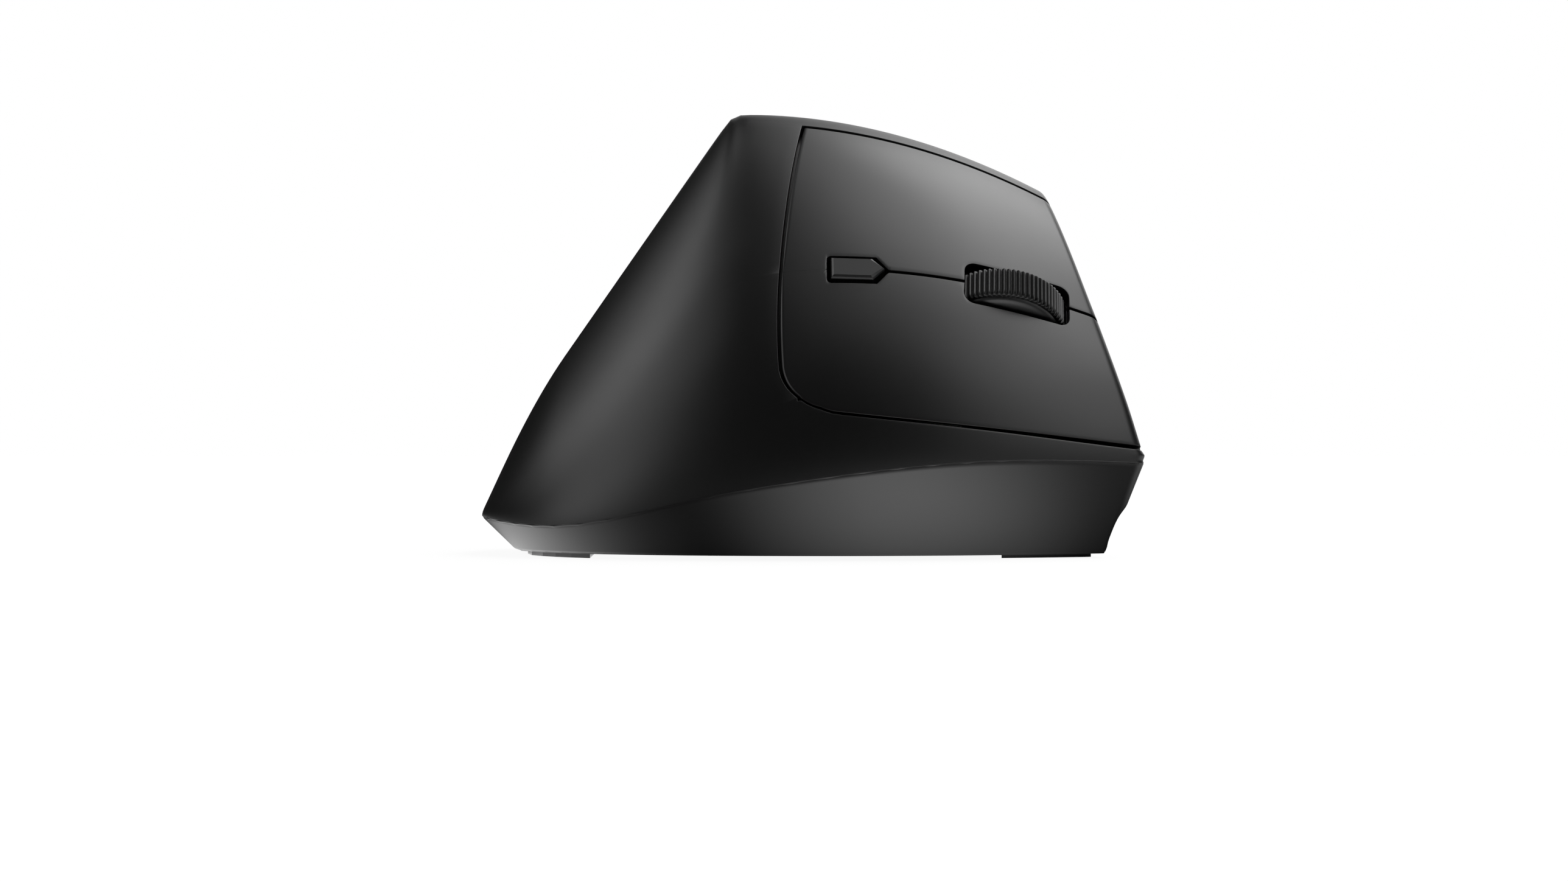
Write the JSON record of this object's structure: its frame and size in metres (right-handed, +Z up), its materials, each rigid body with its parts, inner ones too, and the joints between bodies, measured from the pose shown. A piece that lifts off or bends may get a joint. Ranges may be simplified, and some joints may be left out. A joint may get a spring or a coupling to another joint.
{
  "type": "vertical computer mouse",
  "caption": "Upright right-hand computer mouse with finger keys, scroll wheel, speed button, thumb buttons and a broad base on glide feet.",
  "frame": {"origin": "on the desk, under the middle of the mouse's length and width", "axes": "+Y to the front where the wheel is, +X to the finger side, +Z up from the desk"},
  "size_m": [0.072, 0.1174, 0.0806],
  "materials": {
    "black_plastic": "moulded plastic with a fine satin grain",
    "key_plastic": "moulded plastic with a smooth satin face",
    "rubber": "ribbed soft rubber",
    "glide": "low friction sheet, matt",
    "steel": "bright steel",
    "board": "green coated circuit board",
    "chip": "moulded black housing",
    "plunger": "white plastic",
    "contact": "nickel plated spring sheet",
    "cell": "plain metal can",
    "clear": "clear moulded lens",
    "ribbon": "white flat cable"
  },
  "bodies": {
    "case": {"palm_cover": "black_plastic", "thumb_panel": "black_plastic", "lower_case": "black_plastic", "key_frame": "black_plastic", "pivot_rod": "steel", "key_board": "board", "left_switch": "chip", "right_switch": "chip", "speed_holder": "black_plastic", "speed_switch": "chip", "wheel_switch": "chip", "encoder_emitter": "chip", "encoder_detector": "chip", "thumb_bracket": "black_plastic", "thumb_board": "board", "back_switch": "chip", "forward_switch": "chip", "main_board": "board", "sensor_lens": "clear", "sensor_chip": "chip", "radio_chip": "chip", "power_switch": "steel", "battery": "cell", "front_contact": "contact", "rear_contact": "contact", "front_foot": "glide", "rear_foot": "glide", "case_screws": "steel", "frame_screws": "steel", "thumb_screws": "steel", "key_ribbon": "ribbon", "thumb_ribbon": "ribbon"},
    "left_key": {"left_key": "key_plastic"},
    "right_key": {"right_key": "key_plastic"},
    "left_plunger": {"left_plunger": "plunger"},
    "right_plunger": {"right_plunger": "plunger"},
    "speed_button": {"speed_button": "key_plastic"},
    "speed_plunger": {"speed_plunger": "plunger"},
    "wheel_yoke": {"wheel_yoke": "black_plastic"},
    "wheel": {"wheel_tyre": "rubber", "wheel_hub": "key_plastic", "wheel_axle": "steel"},
    "wheel_plunger": {"wheel_plunger": "plunger"},
    "back_button": {"back_button": "key_plastic"},
    "back_plunger": {"back_plunger": "plunger"},
    "forward_button": {"forward_button": "key_plastic"},
    "forward_plunger": {"forward_plunger": "plunger"},
    "power_slider": {"power_slider": "key_plastic"},
    "battery_door": {"battery_door": "black_plastic"},
    "receiver": {"receiver_cap": "black_plastic", "receiver_plug": "steel"}
  },
  "joints": [
    {"name": "left_key_press", "type": "hinge", "parent": "case", "child": "left_key", "pos_m": [0.01602, -0.00155, 0.0459], "axis": [-0.6134, 0.0503, 0.7881], "range_deg": [0, 0.8], "stiffness_Nm_per_rad": 1.2},
    {"name": "right_key_press", "type": "hinge", "parent": "case", "child": "right_key", "pos_m": [0.01602, -0.00155, 0.0459], "axis": [-0.6134, 0.0503, 0.7881], "range_deg": [0, 0.8], "stiffness_Nm_per_rad": 1.2},
    {"name": "left_plunger_slide", "type": "slide", "parent": "case", "child": "left_plunger", "axis": [-0.7593, -0.3119, -0.5711], "range_m": [0, 0.00056]},
    {"name": "right_plunger_slide", "type": "slide", "parent": "case", "child": "right_plunger", "axis": [-0.7593, -0.3119, -0.5711], "range_m": [0, 0.00058]},
    {"name": "speed_button_press", "type": "slide", "parent": "case", "child": "speed_button", "axis": [-0.7593, -0.3119, -0.5711], "range_m": [0, 0.0004], "stiffness_N_per_m": 1200},
    {"name": "speed_plunger_slide", "type": "slide", "parent": "case", "child": "speed_plunger", "axis": [-0.7593, -0.3119, -0.5711], "range_m": [0, 0.0004]},
    {"name": "wheel_click", "type": "slide", "parent": "case", "child": "wheel_yoke", "axis": [-0.7593, -0.3119, -0.5711], "range_m": [0, 0.0005], "stiffness_N_per_m": 1400},
    {"name": "wheel_spin", "type": "hinge", "parent": "wheel_yoke", "child": "wheel", "pos_m": [0.01285, 0.03409, 0.04116], "axis": [-0.6134, 0.0503, 0.7881], "continuous": true},
    {"name": "wheel_plunger_slide", "type": "slide", "parent": "case", "child": "wheel_plunger", "axis": [-0.7593, -0.3119, -0.5711], "range_m": [0, 0.0005]},
    {"name": "back_button_press", "type": "slide", "parent": "case", "child": "back_button", "axis": [0.9971, 0.0184, -0.074], "range_m": [0, 0.0004], "stiffness_N_per_m": 1200},
    {"name": "back_plunger_slide", "type": "slide", "parent": "case", "child": "back_plunger", "axis": [0.9971, 0.0184, -0.074], "range_m": [0, 0.0004]},
    {"name": "forward_button_press", "type": "slide", "parent": "case", "child": "forward_button", "axis": [0.9971, 0.0184, -0.074], "range_m": [0, 0.0004], "stiffness_N_per_m": 1200},
    {"name": "forward_plunger_slide", "type": "slide", "parent": "case", "child": "forward_plunger", "axis": [0.9971, 0.0184, -0.074], "range_m": [0, 0.0004]},
    {"name": "power_slide", "type": "slide", "parent": "case", "child": "power_slider", "axis": [0, 1, 0], "range_m": [0, 0.003]},
    {"name": "battery_door_off", "type": "slide", "parent": "case", "child": "battery_door", "axis": [0, 0, -1], "range_m": [0, 0.018]},
    {"name": "receiver_out", "type": "slide", "parent": "case", "child": "receiver", "axis": [0, 0, -1], "range_m": [0, 0.014]}
  ],
  "couplings": [
    {"joint": "left_plunger_slide", "follows": "left_key_press", "m_per_rad": 0.036866},
    {"joint": "right_plunger_slide", "follows": "right_key_press", "m_per_rad": 0.039022},
    {"joint": "speed_plunger_slide", "follows": "speed_button_press", "ratio": 1},
    {"joint": "wheel_plunger_slide", "follows": "wheel_click", "ratio": 1},
    {"joint": "back_plunger_slide", "follows": "back_button_press", "ratio": 1},
    {"joint": "forward_plunger_slide", "follows": "forward_button_press", "ratio": 1}
  ]
}
